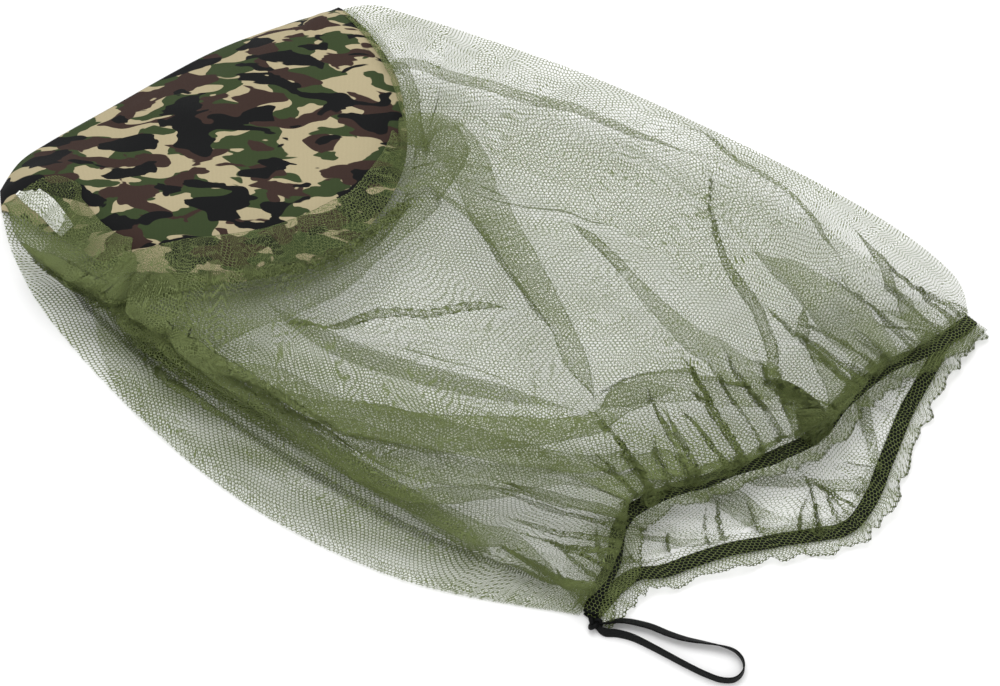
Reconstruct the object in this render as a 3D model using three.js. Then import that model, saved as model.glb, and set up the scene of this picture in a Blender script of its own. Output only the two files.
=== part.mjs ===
// A beekeeper's head veil lying on its side: a round cotton crown sewn to a tube of knitted net,
// an elastic round the open end of the tube, and a loop of flat elastic at one end of the seam.
// Millimetres. +Z is up from the table, +X runs from the crown to the open end,
// and -Y is the edge with the side seam. The origin is under the middle of the bag.
import * as THREE from "three";

// Driving dimensions
const NET_THICKNESS = 1.2;
const COTTON_THICKNESS = 1.6;
const ELASTIC_WIDTH = 9;
const ELASTIC_THICKNESS = 1.4;
const FRILL_WIDTH = 10;
const LOOP_TAPE_WIDTH = 6;
const LOOP_TAPE_THICKNESS = 1.6;
const KNOT_RADIUS = 5;
const SEAM_ROLL_RADIUS = 1.1;
const LABEL_SIZE = { length: 44, width: 11, thickness: 0.9 };
const GAP = 0.5;
const UPPER_LIFT = NET_THICKNESS + 1.4;
const HEM_ROWS = 40;
const HEM_START = 3 / HEM_ROWS;
const HEM_END = 39 / HEM_ROWS;
const CROWN_CENTRE = new THREE.Vector2(-200, 12);

// Heights of the upper layer's arch over the table, from its start to its end
const CROWN_ARCH = [0, 15, 20, 20, 15];
const NET_ARCH = [15, 21, 26, 28, 26, 21, 15];
const ARCH_POWER = 3.2;

// Outlines on the table, from the near corner to the far one or from the crown to the open end
const FOLD_LINE = [
  [-284, -94], [-288, -70], [-283, -48], [-270, -10], [-243, 66], [-216, 114], [-204, 130],
];
const CROWN_SEAM = [[-274, -105], [-226, -104], [-176, -98], [-126, -68], [-90, -24], [-82, 22],
  [-94, 62], [-128, 102], [-164, 126], [-197, 139]];
const CROWN_TURN = [[-274, -105], [-236, -78], [-206, -38], [-188, 10], [-182, 62], [-184, 108],
  [-197, 139]];
const NEAR_EDGE = [[-274, -105], [-246, -128], [-198, -153], [-112, -179], [-18, -193], [84, -184],
  [179, -147]];
const FAR_EDGE = [[-197, 139], [-178, 157], [-120, 172], [-20, 188], [90, 194], [180, 192],
  [236, 180], [258, 160]];
const UPPER_HEM = [[179, -147], [174, -116], [164, -88], [172, -66], [188, -40], [204, -16], [216, 4],
  [227, 22], [229, 54], [234, 84], [246, 118], [258, 160]];
const LOWER_HEM = [[179, -147], [184, -112], [205, -84], [236, -44], [264, -18], [272, 2], [266, 36],
  [257, 84], [252, 128], [258, 160]];
const SIDE_SEAM = [[-212, -124], [-160, -140], [-72, -152], [56, -155], [128, -145], [158, -136]];

// The arm loop's centreline. The tape stands on its edge and both its ends are in the knot.
const LOOP_ROUTE = [[195, -144, 3.3], [199, -139.5, 3.2], [204.5, -136, 3.2], [211, -133.5, 3.2],
  [218, -131.5, 3.2], [228, -130, 3.2], [238, -127.5, 3.2], [248, -123.5, 3.2],
  [257, -120, 3.2], [265, -118.5, 3.2], [272, -121, 3.2], [276, -127, 3.2],
  [275, -134, 3.2], [269, -138.5, 3.2], [260, -140.5, 3.2], [248, -141.5, 3.2],
  [234, -142, 3.2], [222, -142.5, 3.2], [212, -143.5, 3.2], [204, -146, 3.2],
  [197, -149.5, 3.3]];
const KNOT_CENTRE = [190, -148, 5];
const LOOP_JOIN_POINT = [228, -136, 3.2];

const FINISH = {
  net: { color: 0x6f7a4c, roughness: 0.8 },
  cotton: { color: 0x5b5a44, roughness: 0.9 },
  elastic: { color: 0x17191a, roughness: 0.75 },
  thread: { color: 0x3a4028, roughness: 0.85 },
  satin: { color: 0xe8eae6, roughness: 0.45 },
};

const veil = new THREE.Group();

// A named mesh of one finish, added to the veil.
function addPiece(name, geometry, finish) {
  const material = new THREE.MeshStandardMaterial({ ...FINISH[finish], metalness: 0 });
  const mesh = new THREE.Mesh(geometry, material);
  mesh.name = name;
  veil.add(mesh);
  return mesh;
}

// A smooth curve on the table through a few points.
function outline(points) {
  return new THREE.SplineCurve(points.map(([x, y]) => new THREE.Vector2(x, y)));
}

// A smooth graph of heights, read by a share from 0 to 1.
function graph(heights) {
  const curve = new THREE.SplineCurve(heights.map((height, i) => new THREE.Vector2(i, height)));
  return (share) => curve.getPoint(share).y;
}

// How much of the arch's height is left at a share of the way across the bag.
function archShape(v) {
  return 1 - Math.abs(2 * v - 1) ** ARCH_POWER;
}

// The stretch of an outline between two of its shares.
function stretch(curve, from, to) {
  return { getPoint: (share) => curve.getPoint(from + (to - from) * share) };
}

// An edge drawn over a little at its ends, so that it meets two corners.
function meeting(edge, from, to) {
  const startMiss = from.clone().sub(edge.getPoint(0));
  const endMiss = to.clone().sub(edge.getPoint(1));
  return {
    getPoint: (share) => edge.getPoint(share)
      .addScaledVector(startMiss, 1 - share)
      .addScaledVector(endMiss, share),
  };
}

// An outline moved towards a point by a fixed distance.
function movedTowards(curve, centre, distance) {
  return {
    getPoint: (share) => {
      const point = curve.getPoint(share);
      const step = centre.clone().sub(point).setLength(distance);
      return point.add(step);
    },
  };
}

// A place on the sheet that four outlines bound: u runs from start to end, v from near to far.
function spanned(start, end, nearEdge, farEdge) {
  const corner = [start.getPoint(0), start.getPoint(1), end.getPoint(0), end.getPoint(1)];
  const near = meeting(nearEdge, corner[0], corner[2]);
  const far = meeting(farEdge, corner[1], corner[3]);
  return (u, v) => {
    const along = start.getPoint(v).multiplyScalar(1 - u).add(end.getPoint(v).multiplyScalar(u));
    const across = near.getPoint(u).multiplyScalar(1 - v).add(far.getPoint(u).multiplyScalar(v));
    const bilinear = corner[0].clone().multiplyScalar((1 - u) * (1 - v))
      .add(corner[1].clone().multiplyScalar((1 - u) * v))
      .add(corner[2].clone().multiplyScalar(u * (1 - v)))
      .add(corner[3].clone().multiplyScalar(u * v));
    return along.add(across).sub(bilinear);
  };
}

// A closed sheet: place gives its plan, height its underside, for u and v from 0 to 1.
function sheetSolid(columns, rows, thickness, place, height) {
  const geometry = new THREE.BoxGeometry(1, 1, 1, columns, rows, 1);
  const position = geometry.getAttribute("position");
  for (let i = 0; i < position.count; i += 1) {
    const u = position.getX(i) + 0.5;
    const v = position.getY(i) + 0.5;
    const layer = position.getZ(i) + 0.5;
    const point = place(u, v);
    position.setXYZ(i, point.x, point.y, height(u, v) + layer * thickness);
  }
  geometry.computeVertexNormals();
  return geometry;
}

// A straight line between the ends of two curves, for the short sides of a sheet.
function bridge(from, to) {
  return { getPoint: (share) => from.clone().lerp(to, share) };
}

// The plan of a sheet that only two long outlines bound.
function lens(start, end) {
  const near = bridge(start.getPoint(0), end.getPoint(0));
  const far = bridge(start.getPoint(1), end.getPoint(1));
  return spanned(start, end, near, far);
}

// The plan of a band beside a hem, between two distances outside it. v runs along the hem.
function bandBeside(hem, inner, outer) {
  return (u, v) => {
    const point = hem.getPoint(v);
    const behind = hem.getPoint(Math.max(v - 0.02, 0));
    const ahead = hem.getPoint(Math.min(v + 0.02, 1));
    const outward = new THREE.Vector2(ahead.y - behind.y, behind.x - ahead.x).normalize();
    return point.addScaledVector(outward, inner + (outer - inner) * u);
  };
}

const foldLine = outline(FOLD_LINE);
const crownSeam = outline(CROWN_SEAM);
const crownTurn = outline(CROWN_TURN);
const nearEdge = outline(NEAR_EDGE);
const farEdge = outline(FAR_EDGE);
const upperHem = outline(UPPER_HEM);
const lowerHem = outline(LOWER_HEM);
const crownArch = graph(CROWN_ARCH);
const netArch = graph(NET_ARCH);

// The round cotton crown is folded: the larger share lies on top, the rest turns under the bag.
function crownPieces() {
  const seamEdge = movedTowards(crownSeam, CROWN_CENTRE, GAP * 3);
  const top = sheetSolid(18, HEM_ROWS, COTTON_THICKNESS, lens(foldLine, seamEdge),
    (u, v) => UPPER_LIFT + crownArch(u) * archShape(v));
  const turnedEdge = movedTowards(crownTurn, new THREE.Vector2(-270, 20), GAP * 2);
  const under = sheetSolid(8, HEM_ROWS, COTTON_THICKNESS, lens(foldLine, turnedEdge), () => 0);
  addPiece("crown_top", top, "cotton");
  addPiece("crown_turned_under", under, "cotton");
}

// The net tube lies flat: an arched upper layer over a lower layer that rests on the table.
function netPieces() {
  const upper = sheetSolid(30, HEM_ROWS, NET_THICKNESS, spanned(crownSeam, upperHem, nearEdge, farEdge),
    (u, v) => UPPER_LIFT + netArch(u) * archShape(v));
  const lower = sheetSolid(16, HEM_ROWS, NET_THICKNESS, spanned(crownTurn, lowerHem, nearEdge, farEdge),
    () => 0);
  addPiece("net_upper", upper, "net");
  addPiece("net_lower", lower, "net");
}

// Each half of the open end has a flat elastic in its hem and a frill of net outside it.
function hemPieces() {
  const upperMiddle = stretch(upperHem, HEM_START, HEM_END);
  const lowerMiddle = stretch(lowerHem, HEM_START, HEM_END);
  const hemShare = (v) => HEM_START + (HEM_END - HEM_START) * v;
  const upperHeight = (u, v) => UPPER_LIFT + netArch(1) * archShape(hemShare(v));
  const frillStart = ELASTIC_WIDTH + 2 * GAP;
  const frillEnd = frillStart + FRILL_WIDTH;
  const bandRows = Math.round((HEM_END - HEM_START) * HEM_ROWS);
  const bands = [
    ["hem_elastic_upper", upperMiddle, GAP, GAP + ELASTIC_WIDTH, "elastic", upperHeight],
    ["hem_frill_upper", upperMiddle, frillStart, frillEnd, "net", upperHeight],
    ["hem_elastic_lower", lowerMiddle, GAP, GAP + ELASTIC_WIDTH, "elastic", () => 0],
    ["hem_frill_lower", lowerMiddle, frillStart, frillEnd, "net", () => 0],
  ];
  for (const [name, hem, inner, outer, finish, height] of bands) {
    const thickness = finish === "elastic" ? ELASTIC_THICKNESS : NET_THICKNESS;
    const band = sheetSolid(1, bandRows, thickness, bandBeside(hem, inner, outer), height);
    addPiece(name, band, finish);
  }
}

// The side seam's sewn roll lies inside the bag, on the lower layer.
function sideSeam() {
  const height = NET_THICKNESS + GAP + SEAM_ROLL_RADIUS;
  const route = new THREE.CatmullRomCurve3(
    SIDE_SEAM.map(([x, y]) => new THREE.Vector3(x, y, height)));
  const section = new THREE.Shape().absarc(0, 0, SEAM_ROLL_RADIUS, 0, 2 * Math.PI);
  const roll = new THREE.ExtrudeGeometry(section, {
    steps: 50, curveSegments: 4, extrudePath: route, bevelEnabled: false,
  });
  addPiece("side_seam", roll, "thread");
}

// A small blank label is sewn inside the bag, by the near end of the crown's fold.
function careLabel() {
  const label = new THREE.BoxGeometry(LABEL_SIZE.length, LABEL_SIZE.width, LABEL_SIZE.thickness);
  const piece = addPiece("care_label", label, "satin");
  const height = COTTON_THICKNESS + GAP + LABEL_SIZE.thickness / 2;
  piece.position.set(-244, -92, height);
  piece.rotation.z = THREE.MathUtils.degToRad(-12);
}

// The arm loop: a knot at the hem's near corner and a loop of flat elastic that lies on edge.
function armLoop() {
  const knot = addPiece("arm_loop_knot", new THREE.SphereGeometry(KNOT_RADIUS, 16, 10), "elastic");
  knot.position.set(...KNOT_CENTRE);
  const route = new THREE.CatmullRomCurve3(LOOP_ROUTE.map((p) => new THREE.Vector3(...p)));
  const tapeSection = new THREE.Shape().absellipse(
    0, 0, LOOP_TAPE_WIDTH / 2, LOOP_TAPE_THICKNESS / 2, 0, 2 * Math.PI);
  const tape = new THREE.ExtrudeGeometry(tapeSection, {
    steps: 60, curveSegments: 4, extrudePath: route, bevelEnabled: false,
  });
  addPiece("arm_loop", tape, "elastic");
  const join = addPiece("arm_loop_join", new THREE.BoxGeometry(7, 3, LOOP_TAPE_WIDTH), "elastic");
  join.position.set(...LOOP_JOIN_POINT);
}

crownPieces();
netPieces();
hemPieces();
sideSeam();
careLabel();
armLoop();

export default veil;
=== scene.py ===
import math

import bpy
import numpy as np
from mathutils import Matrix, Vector
from mathutils.kdtree import KDTree


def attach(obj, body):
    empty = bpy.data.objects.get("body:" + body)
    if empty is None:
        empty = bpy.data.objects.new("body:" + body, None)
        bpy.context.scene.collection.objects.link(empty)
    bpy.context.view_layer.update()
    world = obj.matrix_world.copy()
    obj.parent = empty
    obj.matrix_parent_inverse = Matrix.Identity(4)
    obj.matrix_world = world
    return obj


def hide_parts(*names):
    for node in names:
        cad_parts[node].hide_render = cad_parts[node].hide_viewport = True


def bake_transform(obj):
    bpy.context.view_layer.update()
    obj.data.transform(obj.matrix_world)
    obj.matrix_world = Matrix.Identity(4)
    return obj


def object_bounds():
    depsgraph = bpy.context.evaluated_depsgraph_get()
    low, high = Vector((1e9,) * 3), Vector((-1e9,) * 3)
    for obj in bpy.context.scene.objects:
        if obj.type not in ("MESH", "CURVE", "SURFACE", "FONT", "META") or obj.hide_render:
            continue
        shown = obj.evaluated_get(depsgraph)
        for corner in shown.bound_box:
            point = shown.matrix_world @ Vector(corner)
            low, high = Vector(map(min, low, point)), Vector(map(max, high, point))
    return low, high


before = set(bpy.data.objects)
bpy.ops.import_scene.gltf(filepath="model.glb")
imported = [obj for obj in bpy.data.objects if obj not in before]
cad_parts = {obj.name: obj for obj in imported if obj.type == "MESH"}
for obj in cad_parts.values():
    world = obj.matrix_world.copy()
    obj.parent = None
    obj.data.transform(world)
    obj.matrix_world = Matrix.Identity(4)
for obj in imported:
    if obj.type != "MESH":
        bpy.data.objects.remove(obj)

# A beekeeper's head veil lying on its side. Lengths are written in millimetres and turned to
# metres once, when a mesh is made. X runs from the crown to the open end, Z is up.
MM = 0.001
cad_low, cad_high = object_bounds()

# --- Driving sizes, in millimetres ---
NET_PITCH = 2.5
NET_YARN = 0.325
ELASTIC_WIDTH = 9.0
ELASTIC_THICKNESS = 1.1
CASING_WIDTH = 10.5
FRILL_WIDTH = 9.0
TAPE_WIDTH = 6.0
TAPE_THICKNESS = 0.9
THREAD_WIDTH = 0.5

# --- Heights of the layers over the table, in millimetres ---
TABLE_NET = 0.7
UPPER_LIFT = 2.2
# The bag is no higher than this, and its highest folds ease off towards it
NET_TOP = 41.0
NET_EASE = 7.0
# Points of the crown above this height count as its top, which the net lies over
CROWN_TOP_LOW = 10.0
REST_GAP = 1.0
# Heights of the crown's arch, from its fold to its seam, and of the upper net's arch, from the crown
# to the hem
CROWN_ARCH = [0, 15, 20, 20, 15]
NET_ARCH = [15, 21, 26, 28, 26, 21, 15]
ARCH_POWER = 3.2

# --- Outlines on the table, the same as the CAD sheets have ---
FOLD_LINE = [(-284, -94), (-288, -70), (-283, -48), (-270, -10), (-243, 66), (-216, 114),
             (-204, 130)]
CROWN_SEAM = [(-274, -105), (-226, -104), (-176, -98), (-126, -68), (-90, -24), (-82, 22),
              (-94, 62), (-128, 102), (-164, 126), (-197, 139)]
CROWN_TURN = [(-274, -105), (-236, -78), (-206, -38), (-188, 10), (-182, 62), (-184, 108),
              (-197, 139)]
NEAR_EDGE = [(-274, -105), (-246, -128), (-198, -153), (-112, -179), (-18, -193), (84, -184),
             (179, -147)]
FAR_EDGE = [(-197, 139), (-178, 157), (-120, 172), (-20, 188), (90, 194), (180, 192),
            (236, 180), (258, 160)]
FAR_SEAM = [(-197, 139), (-168, 124), (-138, 113), (-112, 128), (-76, 136), (-48, 145),
            (-22, 150), (14, 156), (50, 162), (84, 172), (116, 170), (146, 165), (176, 158),
            (216, 158), (258, 160)]
UPPER_HEM = [(179, -147), (174, -116), (164, -88), (172, -66), (188, -40), (204, -16), (216, 4),
             (227, 22), (229, 54), (234, 84), (246, 118), (258, 160)]
LOWER_HEM = [(179, -147), (184, -112), (205, -84), (236, -44), (264, -18), (272, 2), (266, 36),
             (257, 84), (252, 128), (258, 160)]
SIDE_SEAM = [(-212, -124), (-160, -140), (-72, -152), (56, -155), (128, -145), (158, -136)]
KNOT_CENTRE = (190, -148, 5)
# The arm loop's middle line, in metres
LOOP_ROUTE = [
    (0.195, -0.144, 0.0033), (0.199, -0.1395, 0.0032), (0.2045, -0.136, 0.0032),
    (0.211, -0.1335, 0.0032), (0.218, -0.1315, 0.0032), (0.228, -0.130, 0.0032),
    (0.238, -0.1275, 0.0032), (0.248, -0.1235, 0.0032), (0.257, -0.120, 0.0032),
    (0.265, -0.1185, 0.0032), (0.272, -0.121, 0.0032), (0.276, -0.127, 0.0032),
    (0.275, -0.134, 0.0032), (0.269, -0.1385, 0.0032), (0.260, -0.1405, 0.0032),
    (0.248, -0.1415, 0.0032), (0.234, -0.142, 0.0032), (0.222, -0.1425, 0.0032),
    (0.212, -0.1435, 0.0032), (0.204, -0.146, 0.0032), (0.197, -0.1495, 0.0033),
]


# --- Camera, light and floor ---

def make_camera():
    """A long lens from the open end's near side, looking down on the folded bag."""
    azimuth, elevation, distance = math.radians(34), math.radians(55), 2.1
    back = Vector((math.sin(azimuth) * math.cos(elevation),
                   -math.cos(azimuth) * math.cos(elevation),
                   math.sin(elevation)))
    data = bpy.data.cameras.new("camera")
    data.sensor_width = 36
    data.lens = 126
    data.clip_start = 0.01
    data.clip_end = 50
    camera = bpy.data.objects.new("camera", data)
    bpy.context.collection.objects.link(camera)
    middle = (cad_low + cad_high) / 2
    # The aim is a little off the middle, so that the bag fills the frame evenly.
    target = Vector((middle.x + 0.0335, middle.y - 0.0155, 0))
    camera.location = target + back * distance
    camera.rotation_mode = "QUATERNION"
    camera.rotation_quaternion = (-back).to_track_quat("-Z", "Y")
    bpy.context.scene.camera = camera


def make_light(name, place, size, power):
    """A soft area light that points at the bag."""
    data = bpy.data.lights.new(name, "AREA")
    data.size = size
    data.energy = power
    light = bpy.data.objects.new(name, data)
    bpy.context.collection.objects.link(light)
    light.location = place
    light.rotation_mode = "QUATERNION"
    light.rotation_quaternion = (-Vector(place)).to_track_quat("-Z", "Y")


def make_stage():
    """A white table, white surroundings and two large soft lights."""
    bpy.ops.mesh.primitive_plane_add(size=12, location=(0, 0, 0))
    floor = bpy.context.object
    floor.name = "floor"
    material, shader = new_material("matt_white_paper")
    shader.inputs["Base Color"].default_value = srgb("FAFAFA")
    shader.inputs["Roughness"].default_value = 0.9
    shader.inputs["Specular IOR Level"].default_value = 0.1
    floor.data.materials.append(material)
    world = bpy.data.worlds.new("white_room")
    bpy.context.scene.world = world
    world.use_nodes = True
    world.node_tree.nodes["Background"].inputs["Color"].default_value = (1, 1, 1, 1)
    world.node_tree.nodes["Background"].inputs["Strength"].default_value = 0.72
    make_light("overhead", (-0.3, 0.5, 1.8), 1.6, 20)
    make_light("front", (0.9, -1.2, 1.2), 1.2, 7)
    bpy.context.scene.view_settings.view_transform = "Standard"
    bpy.context.scene.cycles.transparent_max_bounces = 40


# --- Materials ---

VECTORS = "ShaderNodeVectorMath"
NUMBERS = "ShaderNodeMath"
# How much the yarn widens, in its own half widths, on a steep slope and over unmodelled layers
SLOPE_COVER = 2.4
LAYER_COVER = 0.8
# The share of a lamp's light that goes through the yarn
YARN_LIGHT = 0.5
# A wave texture's scale for bands one metre apart
BANDS_PER_METRE = 1 / 3.2


def srgb(text):
    """A linear colour from an sRGB hex value."""
    parts = [int(text[i:i + 2], 16) / 255 for i in (0, 2, 4)]
    linear = [p / 12.92 if p <= 0.04045 else ((p + 0.055) / 1.055) ** 2.4 for p in parts]
    return (*linear, 1)


def new_material(name):
    """A material with a node tree, and its Principled shader."""
    material = bpy.data.materials.new(name)
    material.use_nodes = True
    return material, material.node_tree.nodes["Principled BSDF"]


def add_node(tree, kind, settings=None, inputs=None, output=None):
    """Adds a node with its settings. Each input is a constant or another node's output. Gives the
    node, or the output that is asked for."""
    node = tree.nodes.new(kind)
    for key, value in (settings or {}).items():
        setattr(node, key, value)
    for key, value in (inputs or {}).items():
        if isinstance(value, bpy.types.NodeSocket):
            tree.links.new(value, node.inputs[key])
        else:
            node.inputs[key].default_value = value
    return node if output is None else node.outputs[output]


def hexagon_distance(tree, place, shift):
    """How far a place is from the middle of its hexagon, on one of the two grids of hexagons."""
    cell = (1, math.sqrt(3), 1)
    half = (0.5, math.sqrt(3) / 2, 0)
    moved = add_node(tree, VECTORS, {"operation": "ADD"}, {0: place, 1: shift}, "Vector")
    wrapped = add_node(tree, VECTORS, {"operation": "MODULO"}, {0: moved, 1: cell}, "Vector")
    centred = add_node(tree, VECTORS, {"operation": "SUBTRACT"}, {0: wrapped, 1: half}, "Vector")
    folded = add_node(tree, VECTORS, {"operation": "ABSOLUTE"}, {0: centred}, "Vector")
    slanted = add_node(tree, VECTORS, {"operation": "DOT_PRODUCT"}, {0: folded, 1: half}, "Value")
    straight = add_node(tree, "ShaderNodeSeparateXYZ", None, {0: folded}, "X")
    return add_node(tree, NUMBERS, {"operation": "MAXIMUM"}, {0: slanted, 1: straight}, 0)


def knitted_net(name, tints, yarn):
    """Knitted polyester net: round yarn in hexagons, so most of it is hole and layers add up."""
    material, shader = new_material(name)
    tree = material.node_tree
    cloth = add_node(tree, "ShaderNodeUVMap", {"uv_map": "cloth"}, None, "UV")
    cells = add_node(tree, VECTORS, {"operation": "SCALE"},
                     {0: cloth, "Scale": 1 / (NET_PITCH * MM)}, "Vector")
    first = hexagon_distance(tree, cells, (0, 0, 0))
    second = hexagon_distance(tree, cells, (0.5, math.sqrt(3) / 2, 0))
    from_middle = add_node(tree, NUMBERS, {"operation": "MINIMUM"}, {0: first, 1: second}, 0)
    yarn_share = yarn / NET_PITCH / 2
    # Yarn is round, so it covers more of the view where the net slopes away.
    slope = add_node(tree, "ShaderNodeLayerWeight", None, {"Blend": 0.5}, "Facing")
    sloping = add_node(tree, NUMBERS, {"operation": "MULTIPLY_ADD"},
                       {0: slope, 1: yarn_share * SLOPE_COVER, 2: from_middle}, 0)
    # The holes are partly closed where they stand for more layers of net than are modelled.
    drawn = add_node(tree, "ShaderNodeAttribute", {"attribute_name": "drawn"}, None, "Fac")
    widened = add_node(tree, NUMBERS, {"operation": "MULTIPLY_ADD"},
                       {0: drawn, 1: yarn_share * LAYER_COVER, 2: sloping}, 0)
    edge = add_node(tree, "ShaderNodeMapRange", None, {
        "Value": widened, "From Min": 0.5 - yarn_share * 0.85,
        "From Max": 0.5 - yarn_share * 0.35}, 0)
    # Thin yarn lets half of a lamp's light through, so its shadow is a light one.
    shadow = add_node(tree, "ShaderNodeLightPath", None, None, "Is Shadow Ray")
    solidity = add_node(tree, NUMBERS, {"operation": "MULTIPLY_ADD"},
                        {0: shadow, 1: -YARN_LIGHT, 2: 1.0}, 0)
    alpha = add_node(tree, NUMBERS, {"operation": "MULTIPLY"}, {0: edge, 1: solidity}, 0)
    bump = add_node(tree, "ShaderNodeBump", None, {
        "Strength": 0.5, "Distance": yarn * MM, "Height": edge}, 0)
    place = add_node(tree, "ShaderNodeTexCoord", None, None, "Object")
    patches = add_node(tree, "ShaderNodeTexNoise", None,
                       {"Vector": place, "Scale": 14, "Detail": 2}, 0)
    dye = add_node(tree, "ShaderNodeMix", {"data_type": "RGBA"},
                   {0: patches, 6: srgb(tints[0]), 7: srgb(tints[1])}, 2)
    tree.links.new(dye, shader.inputs["Base Color"])
    tree.links.new(alpha, shader.inputs["Alpha"])
    tree.links.new(bump, shader.inputs["Normal"])
    shader.inputs["Roughness"].default_value = 0.55
    shader.inputs["Specular IOR Level"].default_value = 0.3
    return material


def printed_cotton():
    """Plain-woven cotton with a screen print: beige ground, then green, brown and black patches."""
    material, shader = new_material("screen_printed_cotton")
    tree = material.node_tree
    place = add_node(tree, "ShaderNodeTexCoord", None, None, "Object")
    # Patches are about 26 mm long and 13 mm wide, and lie along the cloth's warp.
    laid = add_node(tree, "ShaderNodeMapping", {"vector_type": "TEXTURE"}, {
        "Vector": place, "Rotation": (0, 0, math.radians(33)),
        "Scale": (26 * MM, 13 * MM, 22 * MM)}, 0)
    prints = [("3A4829", 0.0, 0.515), ("3E2D27", 7.3, 0.545), ("0F1011", 15.1, 0.56)]
    colour = srgb("BDB08D")
    for ink, seed, level in prints:
        moved = add_node(tree, VECTORS, {"operation": "ADD"},
                         {0: laid, 1: (seed, seed * 1.7, seed * 0.6)}, "Vector")
        blobs = add_node(tree, "ShaderNodeTexNoise", None, {
            "Vector": moved, "Scale": 0.9, "Detail": 2.5, "Roughness": 0.36,
            "Distortion": 0.5}, 0)
        mask = add_node(tree, "ShaderNodeMapRange", None, {
            "Value": blobs, "From Min": level, "From Max": level + 0.008}, 0)
        colour = add_node(tree, "ShaderNodeMix", {"data_type": "RGBA"},
                          {0: mask, 6: colour, 7: srgb(ink)}, 2)
    # Threads are 0.4 mm apart; they are drawn twice as coarse, or they would not show.
    spacing = 0.8 * MM
    weave = []
    for turn in (-36, 54):
        thread_way = add_node(tree, "ShaderNodeMapping", None, {
            "Vector": place, "Rotation": (0, 0, math.radians(turn))}, 0)
        weave.append(add_node(tree, "ShaderNodeTexWave", {"wave_type": "BANDS"}, {
            "Vector": thread_way, "Scale": BANDS_PER_METRE / spacing, "Distortion": 0.4}, 1))
    threads = add_node(tree, NUMBERS, {"operation": "MULTIPLY"}, {0: weave[0], 1: weave[1]}, 0)
    bump = add_node(tree, "ShaderNodeBump", None, {
        "Strength": 0.35, "Distance": 0.25 * MM, "Height": threads}, 0)
    # The colour is darkened by up to a quarter where the threads dip, as painted shade between the
    # threads.
    thread_gap_shade = add_node(tree, "ShaderNodeMix", {"data_type": "RGBA", "blend_type": "MULTIPLY"},
                    {0: 0.25, 6: colour, 7: threads}, 2)
    tree.links.new(thread_gap_shade, shader.inputs["Base Color"])
    tree.links.new(bump, shader.inputs["Normal"])
    shader.inputs["Roughness"].default_value = 0.85
    shader.inputs["Specular IOR Level"].default_value = 0.2
    return material


def braided_elastic():
    """Flat braided elastic: black polyester over rubber cores, ribbed along its length."""
    material, shader = new_material("braided_polyester_elastic")
    tree = material.node_tree
    tape = add_node(tree, "ShaderNodeUVMap", {"uv_map": "cloth"}, None, "UV")
    ribs = add_node(tree, "ShaderNodeTexWave", {"bands_direction": "X"}, {
        "Vector": tape, "Scale": BANDS_PER_METRE / (1.1 * MM)}, 1)
    picks = add_node(tree, "ShaderNodeTexWave", {"bands_direction": "Y"}, {
        "Vector": tape, "Scale": BANDS_PER_METRE / (1.3 * MM)}, 1)
    relief = add_node(tree, NUMBERS, {"operation": "ADD"}, {0: ribs, 1: picks}, 0)
    bump = add_node(tree, "ShaderNodeBump", None, {
        "Strength": 0.6, "Distance": 0.3 * MM, "Height": relief}, 0)
    # The rib crests are painted a little lighter than the grooves between them: painted shade along
    # the ribs.
    shade = add_node(tree, "ShaderNodeMix", {"data_type": "RGBA"},
                     {0: ribs, 6: srgb("030404"), 7: srgb("0D100F")}, 2)
    tree.links.new(shade, shader.inputs["Base Color"])
    tree.links.new(bump, shader.inputs["Normal"])
    shader.inputs["Roughness"].default_value = 0.6
    shader.inputs["Specular IOR Level"].default_value = 0.12
    return material


def spun_thread():
    """Spun polyester sewing thread, dark green, slightly hairy."""
    material, shader = new_material("spun_polyester_thread")
    tree = material.node_tree
    place = add_node(tree, "ShaderNodeTexCoord", None, None, "Object")
    hairs = add_node(tree, "ShaderNodeTexNoise", None,
                     {"Vector": place, "Scale": 900, "Detail": 3}, 0)
    shade = add_node(tree, "ShaderNodeMix", {"data_type": "RGBA"},
                     {0: hairs, 6: srgb("2C3220"), 7: srgb("59623F")}, 2)
    tree.links.new(shade, shader.inputs["Base Color"])
    shader.inputs["Roughness"].default_value = 0.8
    shader.inputs["Sheen Weight"].default_value = 0.3
    return material


def satin_ribbon():
    """White satin ribbon: long floats of filament yarn, glossy across their length."""
    material, shader = new_material("woven_satin_ribbon")
    tree = material.node_tree
    tape = add_node(tree, "ShaderNodeUVMap", {"uv_map": "cloth"}, None, "UV")
    floats = add_node(tree, "ShaderNodeTexWave", {"bands_direction": "X"}, {
        "Vector": tape, "Scale": BANDS_PER_METRE / (0.6 * MM), "Distortion": 0.6}, 1)
    bump = add_node(tree, "ShaderNodeBump", None, {
        "Strength": 0.2, "Distance": 0.1 * MM, "Height": floats}, 0)
    tree.links.new(bump, shader.inputs["Normal"])
    shader.inputs["Base Color"].default_value = srgb("F1F2EE")
    shader.inputs["Roughness"].default_value = 0.32
    shader.inputs["Sheen Weight"].default_value = 0.4
    return material


# --- Curves and surfaces ---

def along(points, shares):
    """Points of the smooth curve through a few points, at shares of the way along it."""
    points = np.array(points, float)
    last = len(points) - 1
    scaled = np.clip(np.asarray(shares, float), 0, 1) * last
    index = np.minimum(scaled.astype(int), last - 1)
    w = (scaled - index)[..., None]
    before = points[np.maximum(index - 1, 0)]
    here = points[index]
    there = points[index + 1]
    after = points[np.minimum(index + 2, last)]
    leave = (there - before) / 2
    arrive = (after - here) / 2
    return ((2 * here - 2 * there + leave + arrive) * w ** 3
            + (-3 * here + 3 * there - 2 * leave - arrive) * w ** 2 + leave * w + here)


def graph(values, shares):
    """A smooth graph through a few values, read at shares of its width."""
    return along([(v,) for v in values], shares)[..., 0]


def smooth_step(low, high, x):
    """0 below low, 1 above high, and a smooth rise between."""
    t = np.clip((x - low) / (high - low), 0, 1)
    return t * t * (3 - 2 * t)


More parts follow.
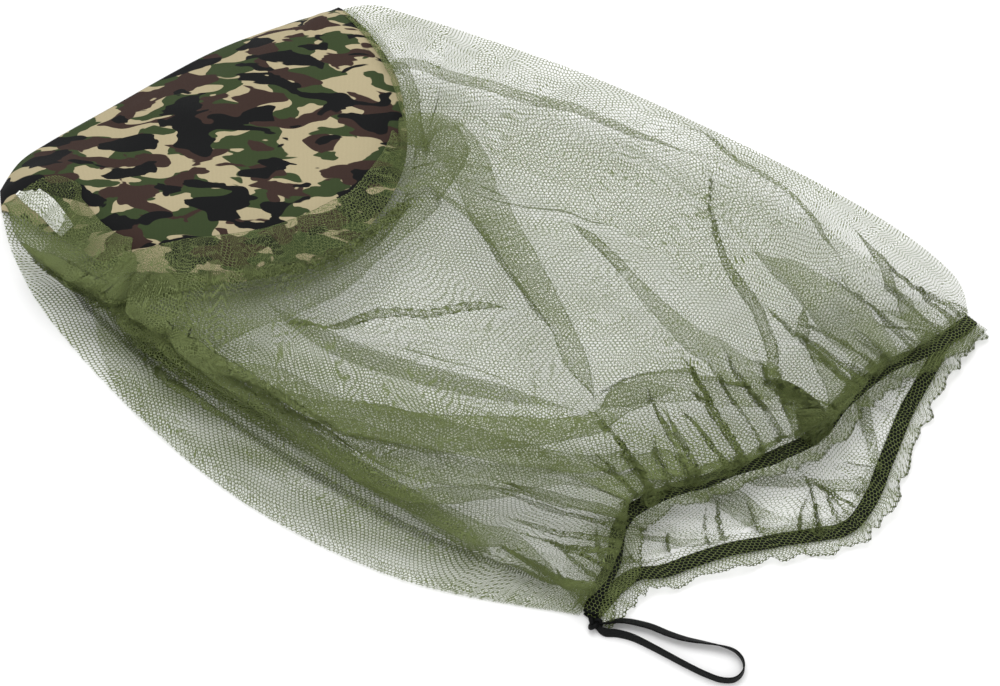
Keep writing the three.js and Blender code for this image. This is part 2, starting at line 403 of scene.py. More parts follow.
def spanned(start, end, near, far):
    """The plan of a sheet between four edges: start and end cross it, near and far run along."""
    rows, columns = len(near), len(start)
    u = np.linspace(0, 1, rows)[:, None, None]
    v = np.linspace(0, 1, columns)[None, :, None]
    u_edge, v_near = u[:, 0], near - near[0]
    near = start[0] + v_near + u_edge * (end[0] - start[0] - v_near[-1])
    v_far = far - far[0]
    far = start[-1] + v_far + u_edge * (end[-1] - start[-1] - v_far[-1])
    crossing = start[None] * (1 - u) + end[None] * u
    running = near[:, None] * (1 - v) + far[:, None] * v
    corners = (start[0] * (1 - u) * (1 - v) + start[-1] * (1 - u) * v
               + end[0] * u * (1 - v) + end[-1] * u * v)
    return crossing + running - corners


def arch_shape(v):
    """How much of the arch's height is left at a share of the way across the bag."""
    return 1 - np.abs(2 * v - 1) ** ARCH_POWER


def ripple(plan, wavelength, seed, waves=7):
    """A smooth random field between about -1 and 1, made of a few plane waves."""
    rng = np.random.default_rng(seed)
    total = np.zeros(plan.shape[:-1])
    for _ in range(waves):
        angle = rng.uniform(0, math.pi)
        length = wavelength * rng.uniform(0.75, 1.6)
        phase = rng.uniform(0, 2 * math.pi)
        direction = np.array([math.cos(angle), math.sin(angle)])
        total += np.sin(plan @ direction * (2 * math.pi / length) + phase)
    return total / math.sqrt(waves * 1.5)


def creases(plan, wavelength, seed):
    """Sharp-edged wrinkles from 0 to about 1, longest along the bag, between bare stretches."""
    drawn = plan * np.array([0.35, 1.0])
    ridge = 1 - np.abs(np.tanh(1.6 * ripple(drawn, wavelength, seed)))
    where = smooth_step(-0.2, 0.7, ripple(plan, 110, seed + 1))
    return 1.6 * ridge ** 4 * where


def measured(grid):
    """Cloth coordinates of a grid of points, measured along the surface from its middle."""
    across = np.linalg.norm(np.diff(grid, axis=1), axis=2)
    down = np.linalg.norm(np.diff(grid, axis=0), axis=2)
    across = np.pad(np.cumsum(across, axis=1), ((0, 0), (1, 0)))
    down = np.pad(np.cumsum(down, axis=0), ((1, 0), (0, 0)))
    across -= across[:, [grid.shape[1] // 2]]
    return np.stack([across, down], axis=2)


def grid_faces(rows, columns):
    """The quads of a grid of points, counted row by row."""
    index = np.arange(rows * columns).reshape(rows, columns)
    corners = [index[:-1, :-1], index[1:, :-1], index[1:, 1:], index[:-1, 1:]]
    return np.stack([c.ravel() for c in corners], axis=1)


def ring_faces(count, sides, closed):
    """The faces of a tube of rings: a closed tube joins up, an open one has two flat ends."""
    faces = []
    for ring in range(count if closed else count - 1):
        here = ring * sides
        there = (ring + 1) % count * sides
        for corner in range(sides):
            beyond = (corner + 1) % sides
            faces.append((here + corner, here + beyond, there + beyond, there + corner))
    if not closed:
        faces.append(tuple(range(sides))[::-1])
        faces.append(tuple(range((count - 1) * sides, count * sides)))
    return faces


def make_mesh(name, points, faces, material, cloth=None):
    """An object at the origin from points in millimetres, faces and cloth coordinates."""
    mesh = bpy.data.meshes.new(name)
    flat = np.asarray(points, float).reshape(-1, 3) * MM
    mesh.from_pydata(flat.tolist(), [], faces)
    if cloth is not None:
        layer = mesh.uv_layers.new(name="cloth")
        corner_points = np.zeros(len(mesh.loops), int)
        mesh.loops.foreach_get("vertex_index", corner_points)
        # The pattern's modulo needs coordinates above zero.
        values = np.asarray(cloth, float).reshape(-1, 2)[corner_points] * MM + 1.0
        layer.data.foreach_set("uv", values.ravel())
    mesh.polygons.foreach_set("use_smooth", [True] * len(mesh.polygons))
    mesh.materials.append(material)
    made = bpy.data.objects.new(name, mesh)
    bpy.context.collection.objects.link(made)
    return made


# --- Folds pressed into a sheet ---

def pleat_profile(tuck):
    """How a fold moves cloth sideways and lifts it, across a fold about 1 wide. Over a tuck of 1
    the cloth doubles back on itself, as in a pleat; under 1 it stands up as a ridge."""
    x = np.linspace(-8, 8, 1601)
    calm = 1 - smooth_step(5, 8, np.abs(x))
    shift = -1.15 * np.tanh(tuck * x / 1.15) / (1 + (x / 2.2) ** 2) * calm
    lift = smooth_step(-0.7, 0.5, x) * (1 - smooth_step(0.8, 2.6, x))
    return x, shift, lift


def rim_profile():
    """The turn of net over the crown's edge: cloth starts under the rim and comes back over it."""
    x = np.linspace(-1, 9, 1001)
    shift = np.where(x < 1, 1 - 2 * x, -(1 - smooth_step(1, 2.8, x)))
    shift = np.convolve(np.pad(shift, 20, "edge"), np.ones(41) / 41, "valid")
    lift = smooth_step(0.1, 1.2, x) * (1 - smooth_step(1.5, 4, x))
    return x, shift, lift


def pull_profile():
    """Cloth drawn one width over a curve and lifted, which fades out three widths behind it."""
    x = np.linspace(-8, 8, 401)
    drawn = 1 - smooth_step(-0.5, 3, x)
    return x, -drawn, drawn


def blouse_profile():
    """Slack cloth that bulges over the line it is sewn to, from two widths behind it."""
    x = np.linspace(-1, 3, 401)
    bulge = np.sin(math.pi * np.clip(x / 2.2, 0, 1) ** 0.75)
    return x, -1.45 * bulge, np.sqrt(bulge)


def from_curve(curve, plan, reach):
    """Indices of the plan's points near a curve, their signed distance to its left, their share
    along it and the direction to its left."""
    line = along(curve, np.linspace(0, 1, 49))
    heading = np.gradient(line, axis=0)
    normals = np.stack([-heading[:, 1], heading[:, 0]], axis=1)
    normals /= np.linalg.norm(normals, axis=1)[:, None]
    low, high = line.min(0) - reach, line.max(0) + reach
    chosen = np.nonzero(((plan > low) & (plan < high)).all(1))[0]
    place = plan[chosen]
    best = np.full(len(chosen), np.inf)
    distance = np.zeros(len(chosen))
    share = np.zeros(len(chosen))
    left = np.zeros((len(chosen), 2))
    for i, (a, b) in enumerate(zip(line[:-1], line[1:])):
        step = b - a
        t = np.clip((place - a) @ step / (step @ step), 0, 1)
        offset = place - a - t[:, None] * step
        size = (offset ** 2).sum(1)
        closer = size < best
        normal = normals[i] * (1 - t)[:, None] + normals[i + 1] * t[:, None]
        best[closer] = size[closer]
        side = np.sign((offset * normal).sum(1))
        distance[closer] = (np.sqrt(size) * side)[closer]
        share[closer] = ((i + t) / (len(line) - 1))[closer]
        left[closer] = normal[closer]
    return chosen, distance, share, left


def press_fold(sheet, curve, widths, lift, lean, profile, fade, free_edges=False):
    """Presses one fold into a sheet as it lies. widths are visible widths along the curve; lean is
    1 to fold over to the left of the curve and -1 to the right; fade is the share of the curve
    that each end takes to rise. The sheet's own edges stay where they are, unless they are free."""
    place = sheet["place"]
    chosen, distance, share, left = from_curve(curve, place[:, :2], 8 * max(widths))
    size = graph(widths, share) * 1.1
    strength = np.ones(len(share))
    if fade[0]:
        strength *= smooth_step(0, fade[0], share)
    if fade[1]:
        strength *= 1 - smooth_step(1 - fade[1], 1, share)
    x = -lean * distance / size
    table, shift, rise = profile
    if not free_edges:
        strength *= sheet["hold"][chosen]
    moved = -lean * np.interp(x, table, shift) * size * strength
    place[chosen, :2] += left * moved[:, None]
    place[chosen, 2] += np.interp(x, table, rise) * lift * strength


# --- The net, in two layers ---

PLEAT = pleat_profile(3)
RIDGE = pleat_profile(0.85)
RIM = rim_profile()
PULL = pull_profile()
BLOUSE = blouse_profile()
# How far the slack net hangs over the elastic along the upper hem
HEM_OVERHANG = [4, 9, 11, 5, 9, 13, 8, 6, 12, 13, 9, 8, 5]
# Along the crown's edge, from the near corner to the far one: how wide the turned net is, and how
# far its turn reaches in over the cotton
RIM_REACH = [22, 26, 23, 16, 10, 6, 5, 5, 5]
RIM_WIDTHS = [16, 26, 32, 26, 17, 12, 10, 9, 9]
# How far the cotton runs on under that net, to its seam
COTTON_REACH = [0, 3, 12, 16, 12, 8, 6, 5, 5]

# How far the slack pulled over the crown's edge goes beyond that
RIM_COVER = [8, 7, 4, 2, 1, 1, 1, 1, 1]
# The lines between which the near side's pleats run, and their widths
FLOW_INNER = [(-268, -104), (-232, -112), (-184, -114), (-134, -120), (-80, -128), (-20, -132),
              (56, -136), (130, -138)]
FLOW_OUTER = [(-270, -108), (-244, -126), (-198, -149), (-112, -174), (-18, -187), (84, -179)]
FLOW_WIDTHS = [2, 4, 5, 6, 5, 4, 3]

# Where the net lies in more layers than its two sheets have: lines on the table, and the widths
# beside them
DRAWN_LINES = [
    ([(-276, -104), (-250, -116), (-204, -134), (-150, -148), (-80, -156), (0, -158), (90, -154),
      (176, -146)], [14, 28, 38, 42, 38, 30, 22, 16]),
    ([(-180, -100), (-120, -112), (-60, -108), (10, -98), (90, -72), (150, -40), (206, -6)],
     [12, 18, 20, 22, 20, 16, 10]),
    ([(184, -150), (174, -118), (164, -88), (174, -62), (192, -34)], [16, 18, 14, 10, 8]),
]

# Folds of the upper layer: points on the table, widths, lift, lean, profile and fade at the ends.
UPPER_FOLDS = [
    # The pleat that leaves the crown's far side, and the fine ones beside it
    ([(-92, 58), (-80, 74), (-62, 76), (-42, 66), (-15, 49), (18, 30), (50, 11), (84, -10),
      (114, -27)], (20, 25, 24, 20, 16, 12, 6), 5, 1, PLEAT, (0.06, 0.12)),
    ([(-64, 40), (-32, 34), (-9, 29), (19, 14), (47, 2), (80, -10)], (4, 6, 4, 3), 3, -1, PLEAT,
     (0.2, 0.2)),
    ([(-60, 52), (-12, 55), (35, 73), (85, 85)], (2, 3, 2), 3, 1, RIDGE, (0.3, 0.3)),
    # The far seam's two stretches
    ([(-134, 107), (-112, 124), (-76, 132), (-48, 142), (-22, 148), (14, 154), (50, 159), (90, 166)],
     (7, 6, 5, 4, 4), 2, 1, PLEAT, (0.05, 0.3)),
    ([(30, 178), (57, 183), (74, 178), (90, 174), (116, 171), (144, 166), (164, 159), (196, 148)],
     (3, 4, 4, 3), 2, -1, PLEAT, (0.2, 0.2)),
    # Folds that run together at the hem's deepest point
    ([(30, 67), (50, 62), (106, 46), (145, 38), (174, 32), (224, 26)], (3, 5, 10, 12, 9), 4, 1, PLEAT,
     (0.2, 0)),
    ([(74, 161), (89, 136), (105, 111), (135, 86), (168, 56), (193, 36), (224, 25)], (3, 4, 5), 4, 1,
     PLEAT, (0.1, 0)),
    ([(126, 112), (156, 111), (186, 108), (210, 101), (236, 90)], (9, 17, 18, 14), 5, 1, PLEAT,
     (0.25, 0)),
    ([(177, 98), (194, 72), (214, 53), (228, 38)], (5, 8, 7), 4, -1, PLEAT, (0.2, 0)),
    ([(161, 177), (197, 157), (222, 137), (240, 124)], (2, 5, 6), 3, 1, PLEAT, (0.3, 0)),
    ([(5, 140), (72, 127), (141, 109), (197, 86), (230, 66)], (2, 3, 4, 5), 3, -1, RIDGE, (0.3, 0)),
    # The bunch of long folds down the near half
    ([(-114, -106), (-69, -106), (-34, -99), (1, -91), (37, -78), (64, -66), (100, -50), (136, -28),
      (166, -10)], (9, 13, 14, 13, 10, 8, 7), 6, 1, PLEAT, (0.08, 0.1)),
    ([(-84, -114), (-34, -109), (1, -101), (37, -89), (75, -78), (113, -66), (147, -52), (184, -34)],
     (7, 11, 13, 12, 10, 8), 6, -1, PLEAT, (0.15, 0)),
    ([(-40, -118), (12, -111), (54, -104), (90, -94), (130, -76), (172, -62)], (7, 11, 11, 9), 5, 1,
     PLEAT, (0.15, 0)),
    ([(8, -130), (45, -128), (76, -118), (105, -104), (133, -94), (168, -84)], (6, 10, 10, 8), 5, -1,
     PLEAT, (0.2, 0)),
    ([(118, -44), (134, -18), (154, -2), (178, 11), (200, 19), (224, 22)], (9, 14, 15, 13, 10), 5, 1,
     PLEAT, (0.15, 0)),
    ([(112, -40), (117, -22), (128, -5), (144, 7), (164, 14), (192, 22)], (4, 5, 4), 3, -1, PLEAT,
     (0.2, 0.1)),
    # The wide fold from the crown's near edge to the arm loop
    ([(-178, -78), (-158, -90), (-134, -101), (-103, -113), (-69, -121), (-27, -130), (12, -133),
      (45, -136), (86, -135), (120, -136), (172, -140)], (9, 13, 15, 13, 12, 11, 12, 12), 5, 1,
     PLEAT, (0.06, 0)),
    # The slack that lies folded along the near side
    ([(-240, -104), (-209, -113), (-169, -122), (-135, -131), (-94, -139), (-53, -146), (-14, -147),
      (35, -148), (76, -148), (124, -147)], (8, 14, 18, 19, 18, 16, 14, 13, 11, 8), 3, 1, PLEAT,
     (0.04, 0.05)),
    # The turn of the slack along the crown's edge
    ([(-246, -112), (-214, -118), (-176, -118), (-144, -108), (-116, -90), (-92, -68), (-74, -46),
      (-62, -22), (-58, 10), (-66, 36)], (6, 9, 12, 12, 11, 10, 8, 7, 6, 4), 4, 1, PLEAT,
     (0.05, 0.1)),
    # Wrinkles between them
    ([(-83, -102), (-56, -91), (-37, -76), (-26, -57), (2, -36), (24, -16), (47, -7)],
     (3, 4, 6, 5, 5, 3), 3, 1, PLEAT, (0.15, 0.2)),
    ([(-70, -94), (-59, -67), (-51, -47), (-46, -20)], (4, 4, 3), 3, -1, PLEAT, (0.1, 0.3)),
    ([(-50, -92), (-13, -70), (14, -47), (41, -34)], (3, 4, 3), 2, -1, RIDGE, (0.3, 0.3)),
    ([(60, -16), (68, -30), (80, -46), (88, -62)], (2, 4, 3), 3, 1, RIDGE, (0.3, 0.2)),
    ([(-20, -74), (14, -66), (52, -56), (84, -52)], (3, 4, 3), 3, 1, RIDGE, (0.3, 0.3)),
]

# Folds of the lower layer, most of them seen through the open end
LOWER_FOLDS = [
    ([(150, -52), (178, -40), (206, -34), (236, -36), (256, -24)], (9, 13, 12, 8), 4, 1, PLEAT,
     (0.2, 0)),
    ([(170, -84), (190, -78), (214, -66), (236, -48)], (4, 5, 4), 3, -1, PLEAT, (0.2, 0)),
    ([(205, -20), (226, -8), (246, 4), (264, 12)], (5, 6, 4), 3, 1, PLEAT, (0.2, 0)),
    ([(214, 96), (232, 74), (252, 52), (266, 36)], (5, 7, 5), 3, 1, PLEAT, (0.2, 0)),
    ([(172, -108), (186, -100), (196, -92), (204, -84)], (5, 6, 4), 3, -1, PLEAT, (0.2, 0)),
    ([(-120, -60), (-40, -66), (40, -50), (120, -24)], (8, 12, 7), 2, 1, PLEAT, (0.3, 0.3)),
    # The slack under the near side
    ([(-216, -106), (-178, -118), (-140, -130), (-98, -134), (-54, -137), (-14, -138), (32, -138),
      (74, -138), (120, -136)], (12, 20, 22, 20, 18, 16, 14, 12, 9), 2, -1, PLEAT, (0.05, 0.1)),
]


def pleat_near_side(sheet, count):
    """Long soft pleats side by side, that sweep from the crown's near corner down the near edge."""
    leans = [1, -1, 1, 1, -1]
    for index in range(count):
        share = (index + 0.5) / count
        inner = along(FLOW_INNER, np.linspace(0, 1 - 0.25 * share, 9))
        outer = along(FLOW_OUTER, np.linspace(0, 1 - 0.25 * share, 9))
        curve = inner * (1 - share) + outer * share
        press_fold(sheet, curve, FLOW_WIDTHS, 2.5, leans[index % len(leans)], PLEAT, (0.02, 0.35))


def flat_sheet(rows, columns, start, end, near, far):
    """A sheet before its folds. Its rows are closer together at both ends, where its folds are
    small. hold says how freely each point may move: the edges stay where they are."""
    v = np.linspace(0, 1, columns)
    even = np.linspace(0, 1, rows)
    u = even - 0.09 * np.sin(2 * math.pi * even)
    plan = spanned(along(start, v), along(end, v), along(near, u), along(far, u)).reshape(-1, 2)
    place = np.column_stack([plan, np.zeros(len(plan))])
    u, v = np.repeat(u, columns), np.tile(v, rows)
    hold = smooth_step(0, 0.02, np.minimum(v, 1 - v)) * smooth_step(0, 0.05, u)
    return {"shape": (rows, columns), "u": u, "v": v, "plan": plan, "place": place, "hold": hold}


def pleat_hem(sheet, hem, count, least, most, seed):
    """Fine pleats that run in from the hem at uneven places. least and most bound their lengths
    and widths."""
    rng = np.random.default_rng(seed)
    for place in (np.arange(count) + rng.uniform(0.1, 0.9, count)) / count:
        length, width = rng.uniform(least, most)
        drift = rng.uniform(-0.05, 0.05)
        steps = np.linspace(0, 1, 5)
        turned = np.clip(place + drift * steps ** 2, 0.01, 0.99)
        curve = np.concatenate([beside(hem, turned[i:i + 1], 2 - length * steps[i])
                                for i in range(5)])
        lean = rng.choice([-1, 1])
        press_fold(sheet, curve, [width, width, width * 0.6], 2.5, lean, PLEAT, (0, 0.5))


def gather_hem(sheet, gathers, depth, reach, seed):
    """Bunches the net up along the hem, where the elastic pulls it in: small upright folds that
    bulge over their own feet, and that fade with distance from the hem."""
    rng = np.random.default_rng(seed)
    rows, columns = sheet["shape"]
    u, v = sheet["u"], sheet["v"]
    phases = graph(rng.uniform(-2.4, 2.4, 14), v)
    sizes = 0.5 + 0.6 * np.abs(graph(rng.uniform(-1, 1, 26), v))
    reaches = reach * (0.7 + 0.9 * np.abs(graph(rng.uniform(-1, 1, 40), v)))
    turn = 2 * math.pi * gathers * v + phases + 4 * (1 - u)
    fade = np.exp(-(1 - u) / reaches) * smooth_step(0, 0.04, v) * smooth_step(0, 0.04, 1 - v)
    side = np.gradient(sheet["plan"].reshape(rows, columns, 2), axis=1).reshape(-1, 2)
    side /= np.linalg.norm(side, axis=1)[:, None]
    sheet["place"][:, :2] += side * (0.8 * depth * sizes * fade * np.sin(2 * turn))[:, None]
    sheet["place"][:, 2] += depth * sizes * fade * (1 + np.cos(turn))


def raised(points, support, gap):
    """Lifts points that would lie in or under a support onto it, and eases them down beside it."""
    tree = KDTree(len(support))
    for index, (x, y, _) in enumerate(support):
        tree.insert((x, y, 0), index)
    tree.balance()
    for index, (x, y, z) in enumerate(points):
        _, nearest, distance = tree.find((x, y, 0))
        # A share of its own height keeps the layers in their order.
        rest = support[nearest, 2] + gap + 0.12 * (z - CROWN_TOP_LOW) - 1.3 * distance
        points[index, 2] = max(z, rest)
    return points


def drawn_together(points):
    """How far the holes are closed at each point, in streaks along the bag, to stand for layers of
    net that aren't modelled."""
    drawn = np.zeros(len(points))
    for curve, widths in DRAWN_LINES:
        chosen, distance, share, _ = from_curve(curve, points[:, :2], 2 * max(widths))
        near = smooth_step(1.6, 0.3, np.abs(distance) / graph(widths, share))
        drawn[chosen] = np.maximum(drawn[chosen], near)
    streaks = ripple(points[:, :2] * np.array([0.22, 1.0]), 11, 9)
    return drawn * np.clip(0.75 + 0.45 * streaks, 0.1, 1.3)


def sheet_object(name, sheet, height, material, support=None):
    """The finished mesh of a folded sheet. Its cloth is measured along its own surface."""
    rows, columns = sheet["shape"]
    points = sheet["place"].copy()
    points[:, 2] = np.maximum(points[:, 2] + height, 0.3)
    if support is not None:
        points = raised(points, support, REST_GAP)
    above = np.maximum(points[:, 2] - NET_TOP + NET_EASE, 0)
    points[:, 2] += NET_EASE * np.tanh(above / NET_EASE) - above
    grid = points.reshape(rows, columns, 3)
    made = make_mesh(name, points, grid_faces(rows, columns), material, measured(grid))
    drawn = made.data.attributes.new("drawn", "FLOAT", "POINT")
    drawn.data.foreach_set("value", drawn_together(points))
    return made


def upper_net(material, support):
    """The arched upper layer, from the turn of net over the crown's edge to the hem."""
    sheet = flat_sheet(245, 400, CROWN_SEAM, UPPER_HEM, NEAR_EDGE, FAR_EDGE)
    press_fold(sheet, CROWN_SEAM, RIM_WIDTHS, 4, 1, RIM, (0, 0.03), free_edges=True)
    press_fold(sheet, CROWN_SEAM, RIM_REACH, 8, 1, PULL, (0, 0.6), free_edges=True)
    for fold in UPPER_FOLDS:
        press_fold(sheet, *fold)
    pleat_near_side(sheet, 5)
    press_fold(sheet, CROWN_SEAM, RIM_COVER, 3, 1, PULL, (0.05, 0.6), free_edges=True)
    pleat_hem(sheet, UPPER_HEM, 34, (30, 1.4), (105, 4.2), 17)
    gather_hem(sheet, 27, 3.0, 0.06, 5)
    press_fold(sheet, UPPER_HEM, HEM_OVERHANG, 4, -1, BLOUSE, (0.04, 0.04))
    arch = graph(NET_ARCH, sheet["u"]) * arch_shape(sheet["v"])
    waves = 1.8 * ripple(sheet["plan"], 62, 3) + 0.8 * ripple(sheet["plan"], 21, 4)
    pulled = creases(sheet["plan"], 30, 6) + 0.6 * creases(sheet["plan"], 16, 8)
    height = UPPER_LIFT + arch + sheet["hold"] * (waves + pulled)
    return sheet_object("net_upper_layer", sheet, height, material, support)


def lower_net(material):
    """The lower layer on the table. Its far side rises to a seam on the upper layer."""
    sheet = flat_sheet(220, 300, CROWN_TURN, LOWER_HEM, NEAR_EDGE, FAR_SEAM)
    for fold in LOWER_FOLDS:
        press_fold(sheet, *fold)
    pleat_hem(sheet, LOWER_HEM, 22, (20, 1.2), (60, 3.4), 23)
    gather_hem(sheet, 30, 1.1, 0.06, 12)
    rise = smooth_step(0.07, 0, 1 - sheet["v"]) * np.sin(math.pi * sheet["u"]) ** 0.6
    height = TABLE_NET + 1.6 * np.abs(ripple(sheet["plan"], 70, 11)) + 13 * rise
    return sheet_object("net_lower_layer", sheet, height, material)


# --- The crown ---

def crown_panel(material):
    """The cotton disc, folded along a straight line: one sheet from under the bag to the top."""
    columns = 160
    v = np.linspace(0, 1, columns)
    fold = along(FOLD_LINE, v)
    seam = along(CROWN_SEAM, v)
    turn = along(CROWN_TURN, v)
    outward = seam - np.array([-200.0, 12.0])
    outward /= np.linalg.norm(outward, axis=1)[:, None]
    seam = seam + outward * graph(COTTON_REACH, v)[:, None]
    top_share = np.linspace(0, 1, 130)[:, None]
    under_share = np.linspace(1, 0, 50)[:-1, None]
    top_plan = fold[None] * (1 - top_share[..., None]) + seam[None] * top_share[..., None]
    under_plan = fold[None] * (1 - under_share[..., None]) + turn[None] * under_share[..., None]
    arch = graph(CROWN_ARCH, top_share) * arch_shape(v)[None]
    swell = 2.2 * ripple(top_plan, 85, 21) + 0.5 * ripple(top_plan, 30, 22)
    calm = np.minimum(1, top_share * 6) * arch_shape(v)[None]
    top_height = UPPER_LIFT + arch + swell * calm
    # The folded edge is a soft roll, so the cloth leaves it steeply.
    top_height = top_height + 2.5 * np.sqrt(np.clip(top_share * 14, 0, 1)) * arch_shape(v)[None]
    under_height = np.full(under_plan.shape[:2], 0.5)
    under_height += 1.6 * smooth_step(0.35, 0, under_share) * arch_shape(v)[None] ** 0.5
    plan = np.concatenate([under_plan, top_plan])
    height = np.concatenate([under_height, top_height])
    points = np.dstack([plan, height])
    return make_mesh("crown_panel", points, grid_faces(len(plan), columns), material,
                     measured(points))


# --- Elastic, casing and frill of the open end ---

def beside(hem, shares, distance):
    """Points beside a hem at a distance outside it."""
    here = along(hem, shares)
    ahead = along(hem, shares + 0.012) - along(hem, shares - 0.012)
    outward = np.stack([ahead[:, 1], -ahead[:, 0]], axis=1)
    outward /= np.linalg.norm(outward, axis=1)[:, None]
    return here + outward * np.asarray(distance)[..., None]


def ruffle(shares, seed, turns):
    """Two smooth random waves along a hem, for its ins and outs and its ups and downs."""
    tables = np.random.default_rng(seed).uniform(-1, 1, (2, turns))
    return graph(tables[0], shares), graph(tables[1], shares)


def band_object(name, hem, section, base, arch, seed, material):
    """A band along a hem. section lists (distance outside, height, sway) across the band. base is
    the height of its ends, and arch how much higher its middle lies."""
    shares = np.linspace(0.01, 0.99, 420)
    slow_out, slow_up = ruffle(shares, seed, 22)
    quick_out, quick_up = ruffle(shares, seed + 1, 60)
    columns = []
    for distance, rise, sway in section:
        place = beside(hem, shares, distance + 1.3 * slow_out + sway * quick_out)
        lifted = (0.9 + 0.12 * distance) * (slow_up + 1) / 2 + sway * quick_up
        height = base + arch * arch_shape(shares) + rise + lifted
        columns.append(np.column_stack([place, np.maximum(height, 0.25)]))
    grid = np.stack(columns, axis=1)
    return make_mesh(name, grid, grid_faces(len(shares), len(section)), material, measured(grid))


def hem_parts(side, hem, base, arch, seed, net, elastic):
    """One half of the open end: the elastic, and the net wrapped round it with a frill outside."""
    inner, outer, top = 0.8, 0.8 + ELASTIC_WIDTH, 0.5 + ELASTIC_THICKNESS
    tape = [(inner, 0.5, 0), (inner, top, 0), (outer, top, 0), (outer, 0.5, 0), (inner, 0.5, 0)]
    band = band_object(f"hem_elastic_{side}_band", hem, tape, base, arch, seed, elastic)
    edge = CASING_WIDTH + FRILL_WIDTH
    wrap = [(-4, 1.9, 0.5), (0, 2.3, 0.5), (5, 2.5, 0.5), (CASING_WIDTH, 2.2, 0.6),
            (CASING_WIDTH + 3, 1.9, 1.4), (edge - 3, 2.4, 2.0), (edge, 2.2, 2.6),
            (edge - 3, 0.7, 2.3), (CASING_WIDTH + 3, 0.4, 1.4), (CASING_WIDTH, 0.1, 0.6),
            (5, -0.2, 0.3), (0, -0.1, 0.3)]
    casing = band_object(f"hem_casing_{side}", hem, wrap, base, arch, seed, net)
    return band, casing


# --- Seams, label and arm loop ---

def tube(name, centres, radius, sides, material, closed=False):
    """A round tube through points in millimetres, its ends closed."""
    centres = np.asarray(centres, float)
    ahead = np.roll(centres, -1, 0) - np.roll(centres, 1, 0)
    if not closed:
        ahead[0] = centres[1] - centres[0]
        ahead[-1] = centres[-1] - centres[-2]
    ahead /= np.linalg.norm(ahead, axis=1)[:, None]
    side = np.cross(ahead, (0.13, 0.07, 1.0))
    side /= np.linalg.norm(side, axis=1)[:, None]
    top = np.cross(side, ahead)
    angles = np.linspace(0, 2 * math.pi, sides, endpoint=False)
    rings = (centres[:, None] + radius * (np.cos(angles)[None, :, None] * side[:, None]
                                         + np.sin(angles)[None, :, None] * top[:, None]))
    return make_mesh(name, rings, ring_faces(len(centres), sides, closed), material)


POINTS_PER_TURN = 9


def overlocked(name, route, radius, pitch, yarn, material):
    """Thread wound along a route as an overlock machine lays it, with uneven loops."""
    route = np.asarray(route, float)
    steps = np.linalg.norm(np.diff(route, axis=0), axis=1)
    run = np.concatenate([[0], np.cumsum(steps)])
    turns = int(run[-1] / pitch)
    rng = np.random.default_rng(7)
    count = turns * POINTS_PER_TURN
    at = np.linspace(0, run[-1], count)
    centre = np.stack([np.interp(at, run, route[:, i]) for i in range(3)], axis=1)
    ahead = np.gradient(centre, axis=0)
    ahead /= np.linalg.norm(ahead, axis=1)[:, None]
    side = np.cross(ahead, (0, 0, 1.0))
    angle = np.linspace(0, 2 * math.pi * turns, count)
    loose = np.repeat(rng.uniform(0.75, 1.35, turns + 1), POINTS_PER_TURN)[:count]
    reach = radius * loose
    points = centre + side * (np.cos(angle) * reach * 1.25)[:, None]
    points[:, 2] += np.sin(angle) * reach * 0.75
    points[:, 2] = np.maximum(points[:, 2], yarn)
    return tube(name, points, yarn / 2, 5, material)


def arm_loop_tape(material):
    """The loop's flat elastic: it leans back along its upper strand and stands on edge elsewhere."""
    knot = np.array(KNOT_CENTRE) - (0, 0, 1.5)
    route = np.vstack([knot, np.array(LOOP_ROUTE) / MM, knot])
    shares = np.linspace(0, 1, 150)
    centre = along(route, shares)
    ahead = np.gradient(centre, axis=0)
    ahead /= np.linalg.norm(ahead, axis=1)[:, None]
    side = np.cross(ahead, (0, 0, 1.0))
    side /= np.linalg.norm(side, axis=1)[:, None]
    up = np.cross(side, ahead)
    lean = np.radians(graph([64, 38, 30, 34, 60, 86, 92, 88, 84, 76, 66], shares))[:, None]
    wide = side * np.cos(lean) + up * np.sin(lean)
    thick = np.cross(wide, ahead)
    section = [(-0.5, -0.35), (-0.46, -0.5), (0.46, -0.5), (0.5, -0.35), (0.5, 0.35), (0.46, 0.5),
               (-0.46, 0.5), (-0.5, 0.35)]
    bunched = 0.55 + 0.45 * smooth_step(0, 0.06, np.minimum(shares, 1 - shares))[:, None]
    rings = np.stack([centre + wide * w * TAPE_WIDTH * bunched + thick * t * TAPE_THICKNESS
                      for w, t in section], axis=1)
    rings[..., 2] += np.maximum(0.15 - rings[..., 2].min(1, keepdims=True), 0)
    count, sides = rings.shape[:2]
    run = np.concatenate([[0], np.cumsum(np.linalg.norm(np.diff(centre, axis=0), axis=1))])
    across = np.array([w for w, _ in section]) * TAPE_WIDTH
    cloth = np.stack(np.meshgrid(across, run), axis=-1)
    faces = ring_faces(count, sides, closed=False)
    return make_mesh("arm_loop_tape", rings, faces, material, cloth), centre * MM


def arm_loop_knot(material):
    """An overhand knot of the tape: a trefoil, pulled tight."""
    t = np.linspace(0, 2 * math.pi, 90, endpoint=False)
    trefoil = np.stack([np.sin(t) + 2 * np.sin(2 * t), np.cos(t) - 2 * np.cos(2 * t),
                        -1.4 * np.sin(3 * t)], axis=1)
    centres = trefoil * 1.15 + np.array(KNOT_CENTRE) + (0, 0, -1.2)
    return tube("arm_loop_knot_tape", centres, 1.35, 10, material, closed=True)


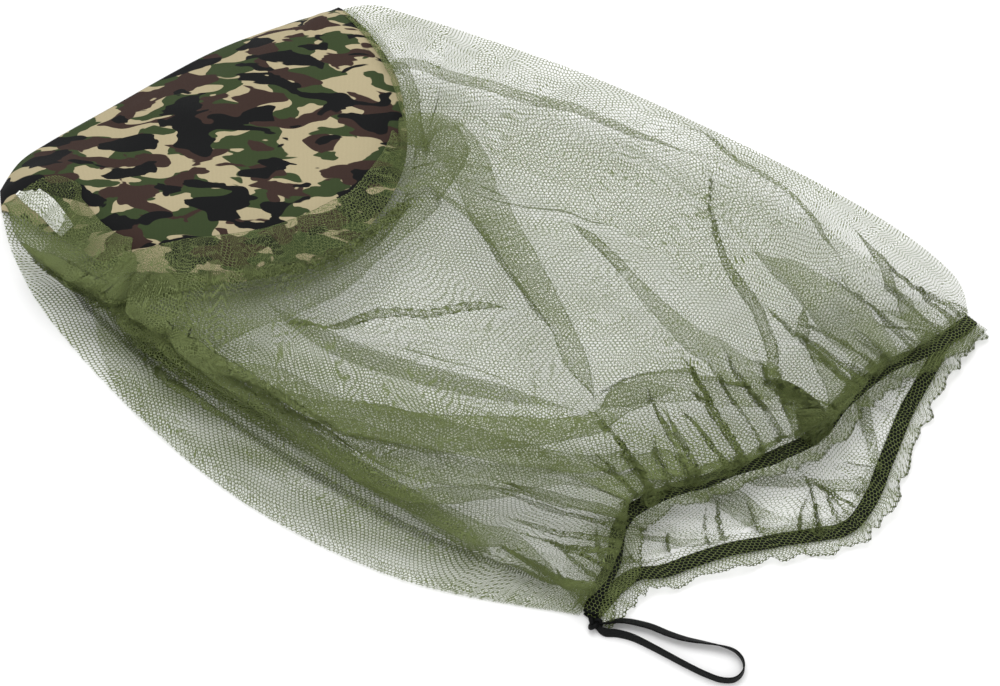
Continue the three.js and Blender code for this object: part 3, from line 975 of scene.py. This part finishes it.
def care_label(material):
    """A blank ribbon folded in two and curled, sewn in by the crown's near corner."""
    shares = np.linspace(0, 1, 60)
    spine = along([(-268, -91, 13), (-257, -95, 15), (-244, -97, 15.5), (-230, -101, 15),
                   (-223, -102, 15.5), (-230, -99, 17), (-244, -94, 18), (-257, -92, 17)], shares)
    widths = np.linspace(-5, 5, 9)
    tilt = np.array([0.25, 0.85, 0.35])
    points = spine[:, None] + widths[None, :, None] * tilt
    run = np.concatenate([[0], np.cumsum(np.linalg.norm(np.diff(spine, axis=0), axis=1))])
    cloth = np.stack(np.meshgrid(widths, run), axis=-1)
    return make_mesh("care_label_ribbon", points, grid_faces(60, 9), material, cloth)


def top_of(objects):
    """The points, in millimetres, of the parts of some objects that lie well above the table."""
    points = np.array([vertex.co for item in objects for vertex in item.data.vertices]) / MM
    return points[points[:, 2] > CROWN_TOP_LOW]


# --- Assembly ---

net = knitted_net("knitted_polyester_net", ("5C6738", "6A7642"), NET_YARN)
cotton = printed_cotton()
elastic = braided_elastic()
thread = spun_thread()
satin = satin_ribbon()

make_camera()
loop_tape, loop_path = arm_loop_tape(elastic)
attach(loop_tape, "loop")
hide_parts("arm_loop", "arm_loop_join")
make_stage()

crown = crown_panel(cotton)
label = care_label(satin)
upper = upper_net(net, top_of([crown, label]))
lower = lower_net(net)
upper_band, upper_casing = hem_parts("upper", UPPER_HEM, UPPER_LIFT - 1, NET_ARCH[-1], 31, net,
                                     elastic)
lower_band, lower_casing = hem_parts("lower", LOWER_HEM, 0, 0, 47, net, elastic)
seam_route = along([(x, y, 3.6) for x, y in SIDE_SEAM], np.linspace(0, 1, 200))
seam_thread = overlocked("side_seam_stitches", seam_route, 1.5, 1.6, THREAD_WIDTH, thread)
knot = arm_loop_knot(elastic)

for piece, slot in [(upper, "knitted_net"), (lower, "knitted_net"), (crown, "camouflage_cotton"),
                    (upper_band, "black_elastic"), (lower_band, "black_elastic"),
                    (upper_casing, "knitted_net"), (lower_casing, "knitted_net"),
                    (seam_thread, "overlock_thread"), (label, "satin_label")]:
    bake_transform(piece)
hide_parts("net_upper")
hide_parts("net_lower")
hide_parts("crown_top", "crown_turned_under")
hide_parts("hem_elastic_upper")
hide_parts("hem_elastic_lower")
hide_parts("hem_frill_upper")
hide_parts("hem_frill_lower")
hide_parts("side_seam")
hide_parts("care_label")
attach(knot, "loop_knot")
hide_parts("arm_loop_knot")
